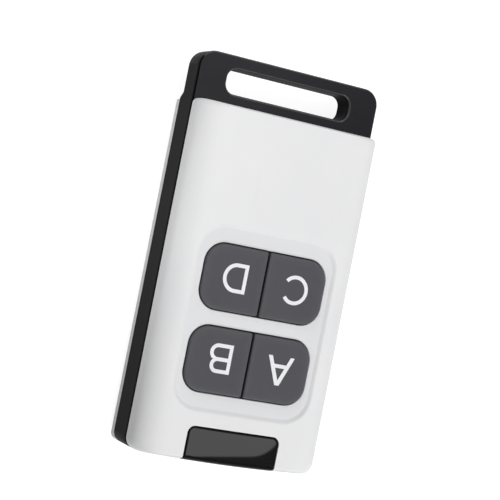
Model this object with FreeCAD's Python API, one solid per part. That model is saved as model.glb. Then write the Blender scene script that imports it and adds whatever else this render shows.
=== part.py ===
import FreeCAD, Part
import math
import os

# Pocket remote control with four keys in two pairs, a status window and a lanyard handle.
# X runs across it, Y along it from the handle to the window, and Z out of the key face.
# It lies on its rear cover: the origin is the middle of its length and width, on that rear face.

# Whole remote
body_width = 36.0
overall_length = 71.5
handle_reach = 8.9
window_end_bulge = 0.5

# Middle frame
frame_height = 6.2
frame_wall = 1.6
handle_height = 5.05
handle_ramp = 1.0
handle_corner_radius = 3.0
window_end_corner_radius = 2.0
frame_edge_radius = 0.3
ledge_width = 1.5
ledge_height = 1.2
inside_corner_radius = 0.7

# Lanyard slot
slot_length = 24.7
slot_width = 4.5
slot_corner_radius = 1.8
slot_to_handle_end = 2.3
slot_edge_radius = 0.4

# Front cover
front_height = 5.2
front_edge_height = 1.4
front_roll_width = 5.5
front_roof = 1.6
front_end_radius = 0.6
rear_end_radius = 0.6
cover_corner_radius = 1.0

# Rear cover
rear_height = 3.2
rear_edge_height = 1.2
rear_roll_width = 5.0
rear_floor = 1.3

# Lips of both covers, inside the frame's wall
lip_height = 1.2
lip_thickness = 0.9
lip_clearance = 0.1

# Recess round the keys
recess_side_margin = 1.85
recess_end_margin = 3.125
recess_corner_radius = 5.0
recess_depth = 0.35
recess_slope_width = 1.1

# Keys
pair_width = 23.6
pair_length = 11.6
pair_gap = 2.95
recess_to_window = 2.4
key_corner_radius = 3.5
key_inner_radius = 0.4
key_split = 0.3
key_clearance = 0.2
key_proud = 0.4
key_edge_radius = 0.3
key_travel = 0.3
flange_width = 0.7
flange_thickness = 0.6
flange_clearance = 0.1
key_post_radius = 1.6

# Status window and its light
window_width = 17.7
window_reach = 6.42
window_corner_radius = 0.9
window_thickness = 0.8
window_drop = 4.2
window_clearance = 0.1
guide_width = 9.0
guide_length = 3.0
guide_clearance = 0.2
guide_edge_radius = 0.2
guide_to_lip = 0.2
led_width = 1.6
led_length = 0.8
led_height = 0.6
led_spacing = 5.0

# Circuit board
board_thickness = 1.0
board_clearance = 0.3

# Coin cell, its holder and contacts
cell_diameter = 20.0
cell_thickness = 3.2
cell_edge_radius = 0.3
cell_step_inset = 1.3
cell_step_height = 0.25
cell_clearance = 0.2
cell_room_below = 0.7
cell_from_cover_start = 18.15
holder_base = 0.8
holder_wall = 1.2
holder_notch = 10.0
contact_thickness = 0.2
contact_width = 4.0
contact_reach = 3.0
contact_run = 12.0

# Push-button switches
switch_size = 4.5
switch_height = 1.6
switch_top = 0.35
switch_cavity_radius = 1.9
switch_edge_radius = 0.4
switch_leg_width = 0.6
switch_leg_length = 0.6
switch_leg_height = 0.2
plunger_radius = 1.1
plunger_collar_radius = 1.6
plunger_collar = 0.3
plunger_margin = 0.3
plunger_clearance = 0.1
dome_radius = 1.7
dome_gap = 0.05
dome_thickness = 0.1
stop_gap = 0.02

# Electronic parts on the board's front
module_width = 11.0
module_length = 13.0
module_thickness = 0.8
module_from_cover_screws = 7.95
module_to_board_screws = 0.3
shield_length = 8.0
shield_margin = 0.8
shield_height = 1.5
shield_wall = 0.2
shield_corner_radius = 0.4
aerial_line = 0.4
aerial_relief = 0.05
aerial_turns = 4
controller_size = 5.0
controller_height = 0.9
controller_chamfer = 0.15
controller_from_cover_screws = 6.2
controller_from_cover_start = 10.9
crystal_width = 3.2
crystal_length = 2.5
crystal_height = 0.8
crystal_rim = 0.4
crystal_from_controller = 5.2
chip_length = 1.6
chip_width = 0.8
chip_height = 0.6
chip_end = 0.4
chip_end_step = 0.1
chips_in_a_row = 4
chip_pitch = 1.8
chip_row_from_cover_screws = 6.0
capacitor_row_from_controller = 7.75
resistor_row_from_controller = 4.2

# Screws
screw_radius = 0.8
screw_head_radius = 1.6
screw_head_height = 1.0
screw_head_depth = 0.5
screw_hole_clearance = 0.1
thread_clearance = 0.05
screw_bite = 2.6
screw_gap = 0.4
screw_slot_width = 0.5
screw_slot_depth = 0.4
screw_slot_reach = 0.95
screw_head_edge_radius = 0.3
boss_radius = 2.3
boss_gap = 0.1
cover_screw_inset = 4.8
cover_screw_end_inset = 4.3
board_screw_radius = 0.7
board_screw_head_radius = 1.4
board_screw_head_height = 0.8
board_screw_length = 1.3
board_screw_from_cover_screws = 5.2
board_screw_to_lip = 0.15
lug_radius = 1.9
lug_floor = 0.4

# Levels, from the rear face upwards
frame_back = rear_height
frame_front = rear_height + frame_height
handle_back = frame_front - handle_height
front_top = frame_front + front_height
roof_inside = front_top - front_roof
recess_floor = front_top - recess_depth
key_top = recess_floor + key_proud
flange_top = roof_inside - flange_clearance
flange_bottom = flange_top - flange_thickness
cell_back = rear_floor + cell_room_below
cell_front = cell_back + cell_thickness
holder_seat = cell_front + contact_thickness
board_back = holder_seat + holder_base
board_front = board_back + board_thickness
switch_face = board_front + switch_height
plunger_top = switch_face + key_travel + plunger_margin
collar_stop = switch_face - switch_top
collar_bottom = collar_stop - stop_gap - plunger_collar
dome_floor = collar_bottom - dome_gap - key_travel - dome_thickness - stop_gap
screw_head_seat = screw_head_depth + screw_head_height
screw_tip = board_back + boss_gap + screw_bite
window_underside = front_top - window_thickness

# Places along and across the remote
half_width = body_width / 2
handle_end = -overall_length / 2
window_end = overall_length / 2
cover_start = handle_end + handle_reach
inside_start = cover_start + frame_wall
inside_half_width = half_width - frame_wall
inside_end = window_end - frame_wall
slot_centre_y = handle_end + slot_to_handle_end + slot_width / 2
pair_pitch = pair_length + pair_gap
recess_width = pair_width + 2 * recess_side_margin
recess_length = pair_pitch + pair_length + 2 * recess_end_margin
recess_end = window_end - window_reach - recess_to_window
pairs_centre_y = recess_end - (recess_length + recess_slope_width) / 2
key_x = (pair_width + key_split) / 4
guide_y = window_end - frame_wall - lip_clearance - lip_thickness - guide_to_lip - guide_length / 2
cover_screw_x = half_width - cover_screw_inset
cover_screw_ys = [cover_start + cover_screw_end_inset, window_end - cover_screw_end_inset]
board_screw_x = cover_screw_x - board_screw_from_cover_screws
lip_inside = frame_wall + lip_clearance + lip_thickness
board_screw_end_inset = lip_inside + board_screw_head_radius + board_screw_to_lip
board_screw_ys = [cover_start + board_screw_end_inset, window_end - board_screw_end_inset]
cell_centre_y = cover_start + cell_from_cover_start
module_x = module_from_cover_screws - cover_screw_x
module_start = board_screw_ys[0] + board_screw_head_radius + module_to_board_screws
module_y = module_start + module_length / 2
controller_x = cover_screw_x - controller_from_cover_screws
controller_y = cover_start + controller_from_cover_start
crystal_x = controller_x
crystal_y = controller_y + crystal_from_controller
chip_row_x = cover_screw_x - chip_row_from_cover_screws
capacitor_row_y = controller_y + capacitor_row_from_controller
resistor_row_y = controller_y - resistor_row_from_controller

# Each key's letter, with its side across the remote and its pair: 1 is the pair nearer the window
KEYS = {"a": (-1, 1), "b": (1, 1), "c": (-1, -1), "d": (1, -1)}


def vec(x, y, z):
    return FreeCAD.Vector(x, y, z)


def box(x_low, x_high, y_low, y_high, z_low, z_high):
    return Part.makeBox(x_high - x_low, y_high - y_low, z_high - z_low, vec(x_low, y_low, z_low))


def upright(radius, x, y, z_low, z_high):
    return Part.makeCylinder(radius, z_high - z_low, vec(x, y, z_low))


def vertical_edges(shape, test):
    """The straight edges along Z whose middle passes the test."""
    found = []
    for edge in shape.Edges:
        start, end = edge.Vertexes[0].Point, edge.Vertexes[-1].Point
        upright_run = abs(start.x - end.x) < 1e-6 and abs(start.y - end.y) < 1e-6
        if upright_run and test(edge.CenterOfMass):
            found.append(edge)
    return found


def outline_prism(half, y_low, y_high, z_low, z_high, low_radius, high_radius):
    """A slab with the remote's outline: straight sides, a square end and a slightly bowed window end."""
    shoulder = y_high - window_end_bulge
    plan = [(-half, shoulder), (-half, y_low), (half, y_low), (half, shoulder)]
    corners = [vec(x, y, z_low) for x, y in plan]
    edges = [Part.LineSegment(corners[i], corners[i + 1]).toShape() for i in range(3)]
    edges.append(Part.Arc(corners[3], vec(0, y_high, z_low), corners[0]).toShape())
    slab = Part.Face(Part.Wire(edges)).extrude(vec(0, 0, z_high - z_low))
    middle = (y_low + y_high) / 2
    slab = slab.makeFillet(low_radius, vertical_edges(slab, lambda p: p.y < middle))
    corners_high = vertical_edges(slab, lambda p: p.y > middle and abs(p.x) > half / 2)
    return slab.makeFillet(high_radius, corners_high)


def rounded_rectangle(width, length, radius, x, y, z):
    """A wire: a rectangle with round corners, centred at x, y."""
    a, b = width / 2, length / 2
    edges = []
    for sx, sy in ((1, -1), (1, 1), (-1, 1), (-1, -1)):
        cx, cy = x + sx * (a - radius), y + sy * (b - radius)
        first = vec(cx, y + sy * b, z) if sx * sy < 0 else vec(x + sx * a, cy, z)
        last = vec(x + sx * a, cy, z) if sx * sy < 0 else vec(cx, y + sy * b, z)
        diagonal = radius / 2 ** 0.5
        edges.append(Part.Arc(first, vec(cx + sx * diagonal, cy + sy * diagonal, z), last).toShape())
    joined = []
    for i, arc in enumerate(edges):
        after = edges[(i + 1) % 4]
        joined.append(arc)
        joined.append(Part.LineSegment(arc.Vertexes[-1].Point, after.Vertexes[0].Point).toShape())
    return Part.Wire(joined)


def rolled_bar(half, roll_width, flat_level, edge_level, base_level, y_low, y_high):
    """A bar along Y: flat in the middle, its sides rolled as quarter ellipses to a short upright edge."""
    roll_height = flat_level - edge_level
    side = half - roll_width
    points = []
    for sign in (1, -1):
        centre = vec(sign * side, y_low, edge_level)
        flat_point = vec(sign * side, y_low, flat_level)
        edge_point = vec(sign * half, y_low, edge_level)
        ends = sorted((roll_width * vec(1, 0, 0), abs(roll_height) * vec(0, 0, 1)), key=lambda v: -v.Length)
        ellipse = Part.Ellipse(centre + ends[0], centre + ends[1], centre)
        first, last = ellipse.parameter(edge_point), ellipse.parameter(flat_point)
        points.append((edge_point, flat_point, quarter_of(ellipse, first, last)))
    base = [vec(sign * half, y_low, base_level) for sign in (1, -1)]
    edges = [points[0][2], Part.LineSegment(points[0][1], points[1][1]).toShape(), points[1][2]]
    edges.append(Part.LineSegment(points[1][0], base[1]).toShape())
    edges.append(Part.LineSegment(base[1], base[0]).toShape())
    edges.append(Part.LineSegment(base[0], points[0][0]).toShape())
    return Part.Face(Part.Wire(Part.__sortEdges__(edges))).extrude(vec(0, y_high - y_low, 0))


def quarter_of(ellipse, first, last):
    """The shorter stretch of an ellipse between two of its parameters, as an edge."""
    low, high = min(first, last), max(first, last)
    if high - low > math.pi:
        low, high = high, low + 2 * math.pi
    return Part.ArcOfEllipse(ellipse, low, high).toShape()


def slot_solid(z_low, z_high):
    """The lanyard slot's space: long across the handle, with round corners."""
    wire = rounded_rectangle(slot_length, slot_width, slot_corner_radius, 0, slot_centre_y, z_low)
    return Part.Face(wire).extrude(vec(0, 0, z_high - z_low))


def cover_screw_places():
    return [(side * cover_screw_x, y) for side in (-1, 1) for y in cover_screw_ys]


def board_screw_places():
    return [(side * board_screw_x, y) for side in (-1, 1) for y in board_screw_ys]


def middle_frame():
    """The black frame: an open ring round the board and a flat handle with the lanyard slot."""
    frame = outline_prism(half_width, handle_end, window_end, frame_back, frame_front,
                          handle_corner_radius, window_end_corner_radius)
    ramp_start = cover_start - handle_ramp
    beyond = handle_end - handle_ramp
    below = frame_back - handle_ramp
    side = [(beyond, below), (cover_start, below), (cover_start, frame_back), (ramp_start, handle_back)]
    side += [(beyond, handle_back), (beyond, below)]
    step = Part.makePolygon([vec(-body_width, y, z) for y, z in side])
    frame = frame.cut(Part.Face(step).extrude(vec(2 * body_width, 0, 0)))
    frame = frame.cut(inside_prism(0, frame_back, frame_front))
    frame = frame.fuse(board_ledge())
    frame = frame.cut(slot_solid(handle_back - handle_ramp, frame_front + handle_ramp)).removeSplitter()
    frame = frame.makeFillet(frame_edge_radius, rim_edges(frame))
    return frame.makeFillet(slot_edge_radius, slot_rims(frame))


def rim_edges(frame):
    """The outside edges of the frame's face: both long sides, the handle's corners and its end."""
    found = []
    for edge in frame.Edges:
        bounds = edge.BoundBox
        flat = bounds.ZLength < 1e-6 and abs(bounds.ZMin - frame_front) < 1e-6
        long_side = abs(abs(bounds.Center.x) - half_width) < 1e-6
        handle_edge = bounds.YMin < handle_end + 1e-6
        if flat and (long_side or handle_edge):
            found.append(edge)
    return found


def slot_rims(frame):
    """The slot's edges on both faces of the handle."""
    found = []
    for edge in frame.Edges:
        bounds = edge.BoundBox
        on_face = abs(bounds.ZMin - frame_front) < 1e-6 or abs(bounds.ZMin - handle_back) < 1e-6
        within_x = abs(bounds.XMin) < slot_length / 2 + 1e-3 and abs(bounds.XMax) < slot_length / 2 + 1e-3
        low, high = slot_centre_y - slot_width / 2, slot_centre_y + slot_width / 2
        within_y = bounds.YMin > low - 1e-3 and bounds.YMax < high + 1e-3
        if bounds.ZLength < 1e-6 and on_face and within_x and within_y:
            found.append(edge)
    return found


def board_ledge():
    """The ledge inside the ring that carries the board, with lugs for both sets of screws."""
    low = board_back - ledge_height
    ledge = inside_prism(0, low, board_back).cut(inside_prism(ledge_width, low, board_back))
    room = inside_prism(0, frame_back, board_back)
    for x, y in cover_screw_places():
        ledge = ledge.fuse(upright(boss_radius, x, y, low, board_back).common(room))
    hole_low = board_back - board_screw_length
    for x, y in board_screw_places():
        ledge = ledge.fuse(upright(lug_radius, x, y, hole_low - lug_floor, board_back).common(room))
    for x, y in cover_screw_places():
        ledge = ledge.cut(upright(screw_radius + screw_hole_clearance, x, y, low, board_back))
    for x, y in board_screw_places():
        ledge = ledge.cut(upright(board_screw_radius + thread_clearance, x, y, hole_low, board_back))
    return ledge


def inside_prism(inset, z_low, z_high):
    """The space inside the frame's ring, made smaller by an inset all round."""
    return outline_prism(inside_half_width - inset, inside_start + inset, inside_end - inset, z_low, z_high,
                         inside_corner_radius, inside_corner_radius)


def cover_outside(flat_level, edge_level, joint_level, roll_width, end_radius):
    """A cover's outside as one solid: the outline, eased at both ends and rolled along its sides."""
    low, high = min(flat_level, joint_level), max(flat_level, joint_level)
    plan = outline_prism(half_width, cover_start, window_end, low, high,
                         cover_corner_radius, window_end_corner_radius)
    rim = [e for e in plan.Edges if e.BoundBox.ZLength < 1e-6 and abs(e.BoundBox.ZMin - flat_level) < 1e-6]
    plan = plan.makeFillet(end_radius, rim)
    return plan.common(rolled_bar(half_width, roll_width, flat_level, edge_level, joint_level,
                                  cover_start, window_end))


def front_outer():
    """The front cover's outside, before its rooms and openings are cut."""
    return cover_outside(front_top, frame_front + front_edge_height, frame_front, front_roll_width,
                         front_end_radius)


def rear_outer():
    return cover_outside(0, rear_height - rear_edge_height, rear_height, rear_roll_width, rear_end_radius)


def lip(z_low, z_high):
    """The rim that a cover pushes into the frame's ring."""
    outer = inside_prism(lip_clearance, z_low, z_high)
    return outer.cut(inside_prism(lip_clearance + lip_thickness, z_low, z_high))


def recess_solid():
    """The shallow dish round the keys, with a sloping border."""
    wires = []
    for level, half_slope in ((front_top, 0.5), (recess_floor, -0.5)):
        grow = recess_slope_width * half_slope
        wires.append(rounded_rectangle(recess_width + 2 * grow, recess_length + 2 * grow,
                                       recess_corner_radius + grow, 0, pairs_centre_y, level))
    return Part.makeLoft(wires, True, True)


def window_zone(grow):
    """The corner of the front cover that the window fills: a plate on top and a leg down the end."""
    start = window_end - window_reach - grow
    half = window_width / 2 + grow
    low = front_top - window_drop - grow
    zone = box(-half, half, start, window_end + window_reach, low, front_top + window_thickness)
    near = vertical_edges(zone, lambda p: p.y < window_end)
    zone = zone.makeFillet(window_corner_radius + grow, near)
    core_end = window_end - window_thickness - window_bow()
    core = box(-half, half, start, core_end, low, window_underside)
    return zone.cut(core)


def window_bow():
    """How far the bowed end has fallen back at the window's sides."""
    return window_end_bulge * (window_width / body_width) ** 2


def light_port(grow, z_low, z_high):
    """The upright block of space that the light guide stands in."""
    half = guide_width / 2 + grow
    half_length = guide_length / 2 + grow
    return box(-half, half, guide_y - half_length, guide_y + half_length, z_low, z_high)


def key_opening(row, grow, z_low, z_high):
    """The space of one pair of keys, made larger by a clearance all round."""
    y = pairs_centre_y + row * pair_pitch / 2
    wire = rounded_rectangle(pair_width + 2 * grow, pair_length + 2 * grow, key_corner_radius + grow,
                             0, y, z_low)
    return Part.Face(wire).extrude(vec(0, 0, z_high - z_low))


def front_cover():
    """The white front shell: lip, screw bosses, key openings, window rebate and light port."""
    outer = front_outer()
    cover = outer.cut(recess_solid())
    cover = cover.cut(inside_prism(lip_clearance + lip_thickness, frame_front, roof_inside))
    cover = cover.fuse(lip(frame_front - lip_height, frame_front))
    boss_low = board_back + boss_gap
    room = inside_prism(lip_clearance, boss_low, roof_inside)
    for x, y in cover_screw_places():
        cover = cover.fuse(upright(boss_radius, x, y, boss_low, roof_inside).common(room))
    for row in (-1, 1):
        cover = cover.cut(key_opening(row, key_clearance, roof_inside, front_top))
    cover = cover.cut(window_zone(window_clearance))
    cover = cover.cut(light_port(guide_clearance, roof_inside, window_underside))
    for x, y in cover_screw_places():
        cover = cover.cut(upright(screw_radius + thread_clearance, x, y, boss_low, screw_tip + screw_gap))
    return cover.removeSplitter()


def rear_cover():
    """The white rear shell: lip, and bosses whose sunk holes take the heads of the cover screws."""
    cover = rear_outer().cut(inside_prism(lip_clearance + lip_thickness, rear_floor, rear_height))
    cover = cover.fuse(lip(rear_height, rear_height + lip_height))
    boss_top = board_back - ledge_height - boss_gap
    room = inside_prism(lip_clearance, rear_floor, boss_top)
    for x, y in cover_screw_places():
        cover = cover.fuse(upright(boss_radius, x, y, rear_floor, boss_top).common(room))
    for x, y in cover_screw_places():
        cover = cover.cut(upright(screw_radius + screw_hole_clearance, x, y, 0, boss_top))
        cover = cover.cut(upright(screw_head_radius + screw_hole_clearance, x, y, 0, screw_head_seat))
    return cover.removeSplitter()


def window():
    """The glossy window: a plate flush with the cover, carried over the end as a short leg."""
    return front_outer().common(window_zone(0))


def light_guide():
    """The clear block under the window, bonded to it, that brings up the light of the two lamps."""
    block = light_port(0, board_front + led_height + guide_clearance, window_underside)
    return block.makeFillet(guide_edge_radius, vertical_edges(block, lambda p: True))


def key_cap(side, row):
    """One key: a cap in its half of the pair, a flange that keeps it in, and a post onto its switch."""
    y = pairs_centre_y + row * pair_pitch / 2
    cap = key_slab(side, y, 0, flange_bottom, key_top)
    top = [e for e in cap.Edges if e.BoundBox.ZMin > key_top - 1e-6]
    cap = cap.makeFillet(key_edge_radius, top)
    flange = key_slab(side, y, flange_width, flange_bottom, flange_top)
    post = upright(key_post_radius, side * key_x, y, plunger_top, flange_bottom)
    return cap.fuse(flange).fuse(post).removeSplitter()


def key_slab(side, y, grow, z_low, z_high):
    """A slab with a key's outline: two large corners outside, two small ones beside the split."""
    inner, outer = key_split / 2, pair_width / 2 + grow
    half_length = pair_length / 2 + grow
    x_low, x_high = sorted((side * inner, side * outer))
    slab = box(x_low, x_high, y - half_length, y + half_length, z_low, z_high)
    middle = (inner + outer) / 2
    slab = slab.makeFillet(key_corner_radius + grow, vertical_edges(slab, lambda p: abs(p.x) > middle))
    return slab.makeFillet(key_inner_radius, vertical_edges(slab, lambda p: abs(p.x) < middle))


def switch_place(side, row):
    return side * key_x, pairs_centre_y + row * pair_pitch / 2


def switch_housing(side, row):
    """A push-button switch's body on the board: a round room for the dome and four solder legs."""
    x, y = switch_place(side, row)
    half = switch_size / 2
    housing = box(x - half, x + half, y - half, y + half, board_front, switch_face)
    housing = housing.makeFillet(switch_edge_radius, vertical_edges(housing, lambda p: True))
    housing = housing.cut(upright(switch_cavity_radius, x, y, dome_floor, collar_stop))
    housing = housing.cut(upright(plunger_radius + plunger_clearance, x, y, collar_stop, switch_face))
    for leg_side in (-1, 1):
        inner = x + leg_side * (half - switch_edge_radius)
        outer = x + leg_side * (half + switch_leg_length)
        for leg_y in (y - half / 2, y + half / 2):
            low, high = sorted((inner, outer))
            leg = box(low, high, leg_y - switch_leg_width / 2, leg_y + switch_leg_width / 2,
                      board_front, board_front + switch_leg_height)
            housing = housing.fuse(leg)
    return housing.removeSplitter()


def switch_plunger(side, row):
    """The switch's plunger: a pin that stands out of the housing, with a collar that keeps it in."""
    x, y = switch_place(side, row)
    collar = upright(plunger_collar_radius, x, y, collar_bottom, collar_bottom + plunger_collar)
    return collar.fuse(upright(plunger_radius, x, y, collar_bottom, plunger_top)).removeSplitter()


def switch_dome(side, row):
    """The sprung steel dome under the plunger: a thin cap of a sphere standing on its rim."""
    x, y = switch_place(side, row)
    rise = collar_bottom - dome_gap - dome_floor
    sphere_radius = (dome_radius ** 2 + rise ** 2) / (2 * rise)
    centre = vec(x, y, dome_floor + rise - sphere_radius)
    outside = Part.makeSphere(sphere_radius, centre)
    inside = Part.makeSphere(sphere_radius - dome_thickness, centre)
    band = upright(dome_radius, x, y, dome_floor, dome_floor + 2 * rise)
    return outside.cut(inside).common(band)


def circuit_board():
    """The board on the frame's ledge, notched at the corners for the covers' bosses."""
    board = inside_prism(board_clearance, board_back, board_front)
    notch = boss_radius + board_clearance
    for x, y in cover_screw_places():
        side, end = math.copysign(1, x), math.copysign(1, y)
        wide = sorted((x - side * notch, side * half_width))
        tall = sorted((y - end * notch, end * window_end))
        corner = box(*wide, *tall, board_back, board_front)
        inner = vertical_edges(corner, lambda p: abs(p.x) < abs(x) and abs(p.y) < abs(y))
        board = board.cut(corner.makeFillet(boss_radius, inner))
    for x, y in board_screw_places():
        board = board.cut(upright(board_screw_radius + screw_hole_clearance, x, y, board_back, board_front))
    return board


def coin_cell():
    """The lithium cell: the can faces the rear cover, the smaller cap faces the board."""
    can = upright(cell_diameter / 2, 0, cell_centre_y, cell_back, cell_front - cell_step_height)
    can = can.makeFillet(cell_edge_radius, [e for e in can.Edges if e.BoundBox.ZLength < 1e-6])
    cap_radius = cell_diameter / 2 - cell_step_inset
    cap = upright(cap_radius, 0, cell_centre_y, cell_back + cell_edge_radius, cell_front)
    return can.fuse(cap)


def battery_holder():
    """The cell's moulded tray: a base on the board and a round wall, notched to push the cell out."""
    inner = cell_diameter / 2 + cell_clearance
    outer = inner + holder_wall
    tray = box(-outer, outer, cell_centre_y - outer, cell_centre_y + outer, cell_back, board_back)
    tray = tray.makeFillet(holder_wall, vertical_edges(tray, lambda p: True))
    tray = tray.cut(upright(inner, 0, cell_centre_y, cell_back, holder_seat))
    half = holder_notch / 2
    return tray.cut(box(-half, half, cell_centre_y, cell_centre_y + outer, cell_back, holder_seat))


def contact_negative():
    """The strip in the tray's floor that the cell's cap rests on."""
    half_run, half = contact_run / 2, contact_width / 2
    return box(-half, half, cell_centre_y - half_run, cell_centre_y + half_run, cell_front, holder_seat)


def contact_positive():
    """The bent strip from the board, up the tray's end and over the cell's can."""
    wall_outside = cell_centre_y - cell_diameter / 2 - cell_clearance - holder_wall
    half = contact_width / 2
    outside, below = wall_outside - contact_thickness, cell_back - contact_thickness
    leg = box(-half, half, outside, wall_outside, below, board_back)
    reach = wall_outside + holder_wall + cell_clearance + contact_reach
    arm = box(-half, half, outside, reach, below, cell_back)
    return leg.fuse(arm).removeSplitter()


def radio_module():
    """The Bluetooth module's own small board, with its zigzag printed aerial at the handle end."""
    x_low, y_low = module_x - module_width / 2, module_y - module_length / 2
    top = board_front + module_thickness
    module = box(x_low, x_low + module_width, y_low, y_low + module_length, board_front, top)
    start_x, start_y = x_low + shield_margin, y_low + shield_margin
    pitch = (module_width - 2 * shield_margin - aerial_line) / (2 * aerial_turns)
    depth = module_length - shield_length - 4 * shield_margin
    line = aerial_line
    for i in range(2 * aerial_turns + 1):
        x = start_x + i * pitch
        module = module.fuse(box(x, x + line, start_y, start_y + depth, top, top + aerial_relief))
        if i < 2 * aerial_turns:
            y = start_y if i % 2 else start_y + depth - line
            module = module.fuse(box(x, x + pitch + line, y, y + line, top, top + aerial_relief))
    return module.removeSplitter()


def radio_shield():
    """The thin metal can over the module's chips."""
    half = module_width / 2 - shield_margin
    y_high = module_y + module_length / 2 - shield_margin
    y_low = y_high - shield_length
    low = board_front + module_thickness
    can = box(module_x - half, module_x + half, y_low, y_high, low, low + shield_height)
    can = can.makeFillet(shield_corner_radius, vertical_edges(can, lambda p: True))
    room = box(module_x - half + shield_wall, module_x + half - shield_wall, y_low + shield_wall,
               y_high - shield_wall, low, low + shield_height - shield_wall)
    return can.cut(room)


def flat_part(width, length, height, x, y):
    """A small flat-bottomed electronic part on the board's front."""
    a, b = width / 2, length / 2
    return box(x - a, x + a, y - b, y + b, board_front, board_front + height)


def microcontroller():
    """The chip that reads the keys, with a chamfer on its top edges."""
    chip = flat_part(controller_size, controller_size, controller_height, controller_x, controller_y)
    top = [e for e in chip.Edges if e.BoundBox.ZMin > board_front + controller_height - 1e-6]
    return chip.makeChamfer(controller_chamfer, top)


def crystal():
    """The clock crystal's metal case: a base with a smaller lid."""
    base = flat_part(crystal_width, crystal_length, crystal_height / 2, crystal_x, crystal_y)
    lid_width, lid_length = crystal_width - crystal_rim, crystal_length - crystal_rim
    lid = flat_part(lid_width, lid_length, crystal_height, crystal_x, crystal_y)
    return base.fuse(lid).removeSplitter()


def chip_part(index, row_y):
    """A chip capacitor or resistor: a body with a slightly larger solderable cap on each end."""
    middle_index = (chips_in_a_row + 1) / 2
    x = chip_row_x + (index - middle_index) * chip_pitch
    body = flat_part(chip_width - 2 * chip_end_step, chip_length, chip_height - chip_end_step, x, row_y)
    for side in (-1, 1):
        cap_y = row_y + side * (chip_length - chip_end) / 2
        body = body.fuse(flat_part(chip_width, chip_end, chip_height, x, cap_y))
    return body.removeSplitter()


def status_led(side):
    """A small lamp under the light guide: a base with a clear block on it."""
    x = side * led_spacing / 2
    base = flat_part(led_width, led_length, led_height / 2, x, guide_y)
    lens = flat_part(led_width - chip_end, led_length, led_height, x, guide_y)
    return base.fuse(lens).removeSplitter()


def screw_set(places, shank_radius, head_radius, head_height, head_low, tip, head_below):
    """Cross-headed screws as separate solids: pan head at one end, plain shank to the tip."""
    screws = []
    for x, y in places:
        head = upright(head_radius, x, y, head_low, head_low + head_height)
        face = head_low if head_below else head_low + head_height
        rim = [e for e in head.Edges if e.BoundBox.ZLength < 1e-6 and abs(e.BoundBox.ZMin - face) < 1e-6]
        head = head.makeFillet(screw_head_edge_radius, rim)
        low, high = min(tip, head_low + head_height), max(tip, head_low)
        screw = head.fuse(upright(shank_radius, x, y, low, high))
        cut_low = head_low if head_below else head_low + head_height - screw_slot_depth
        half, thin = screw_slot_reach, screw_slot_width / 2
        for a, b in ((half, thin), (thin, half)):
            screw = screw.cut(box(x - a, x + a, y - b, y + b, cut_low, cut_low + screw_slot_depth))
        screws.append(screw.removeSplitter())
    return Part.makeCompound(screws)


def cover_screws():
    return screw_set(cover_screw_places(), screw_radius, screw_head_radius, screw_head_height,
                     screw_head_depth, screw_tip, True)


def board_screws():
    tip = board_back - board_screw_length + stop_gap
    return screw_set(board_screw_places(), board_screw_radius, board_screw_head_radius,
                     board_screw_head_height, board_front, tip, False)


def build_all():
    """Every node of the remote by name."""
    parts = {
        "middle_frame": middle_frame(),
        "front_cover": front_cover(),
        "rear_cover": rear_cover(),
        "window": window(),
        "light_guide": light_guide(),
        "circuit_board": circuit_board(),
        "coin_cell": coin_cell(),
        "battery_holder": battery_holder(),
        "contact_negative": contact_negative(),
        "contact_positive": contact_positive(),
        "radio_module": radio_module(),
        "radio_shield": radio_shield(),
        "microcontroller": microcontroller(),
        "crystal": crystal(),
        "cover_screws": cover_screws(),
        "board_screws": board_screws(),
    }
    for letter, (side, row) in KEYS.items():
        parts["key_" + letter] = key_cap(side, row)
        parts["switch_housing_" + letter] = switch_housing(side, row)
        parts["switch_plunger_" + letter] = switch_plunger(side, row)
        parts["switch_dome_" + letter] = switch_dome(side, row)
    for index in range(1, chips_in_a_row + 1):
        parts["chip_capacitor_%d" % index] = chip_part(index, capacitor_row_y)
        parts["chip_resistor_%d" % index] = chip_part(index, resistor_row_y)
    for index, side in ((1, -1), (2, 1)):
        parts["status_led_%d" % index] = status_led(side)
    return parts


if __name__ == "__main__":
    os.makedirs("parts", exist_ok=True)
    for name, shape in build_all().items():
        shape.exportStep("parts/" + name + ".step")
        print(name, len(shape.Solids), round(shape.Volume, 2), shape.isValid())
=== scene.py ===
import bpy
import bmesh
import math
from mathutils import Matrix, Vector


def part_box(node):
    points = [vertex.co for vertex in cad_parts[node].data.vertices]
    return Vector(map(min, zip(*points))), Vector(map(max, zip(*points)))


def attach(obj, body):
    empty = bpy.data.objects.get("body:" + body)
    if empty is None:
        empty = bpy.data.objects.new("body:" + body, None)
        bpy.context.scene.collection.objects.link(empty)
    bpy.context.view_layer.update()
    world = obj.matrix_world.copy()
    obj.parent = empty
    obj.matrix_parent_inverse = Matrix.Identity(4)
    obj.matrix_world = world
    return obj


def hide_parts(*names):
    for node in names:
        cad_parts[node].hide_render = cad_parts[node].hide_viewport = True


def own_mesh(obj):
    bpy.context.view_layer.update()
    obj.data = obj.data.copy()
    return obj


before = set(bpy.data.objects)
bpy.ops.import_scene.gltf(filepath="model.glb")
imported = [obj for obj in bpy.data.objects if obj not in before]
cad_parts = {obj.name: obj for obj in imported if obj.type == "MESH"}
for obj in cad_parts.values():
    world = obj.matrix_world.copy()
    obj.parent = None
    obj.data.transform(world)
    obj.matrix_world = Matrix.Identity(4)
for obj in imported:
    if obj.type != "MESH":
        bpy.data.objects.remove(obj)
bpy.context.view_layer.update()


# Middle frame. One injection moulding in black ABS: an open ring round the circuit board, and a
# flat handle with the lanyard slot. Both white shells close over it and screw together through it.

MM = 0.001
noise_low = 0.3
noise_high = 0.7
gloss_from_grain = 0.45


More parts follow.
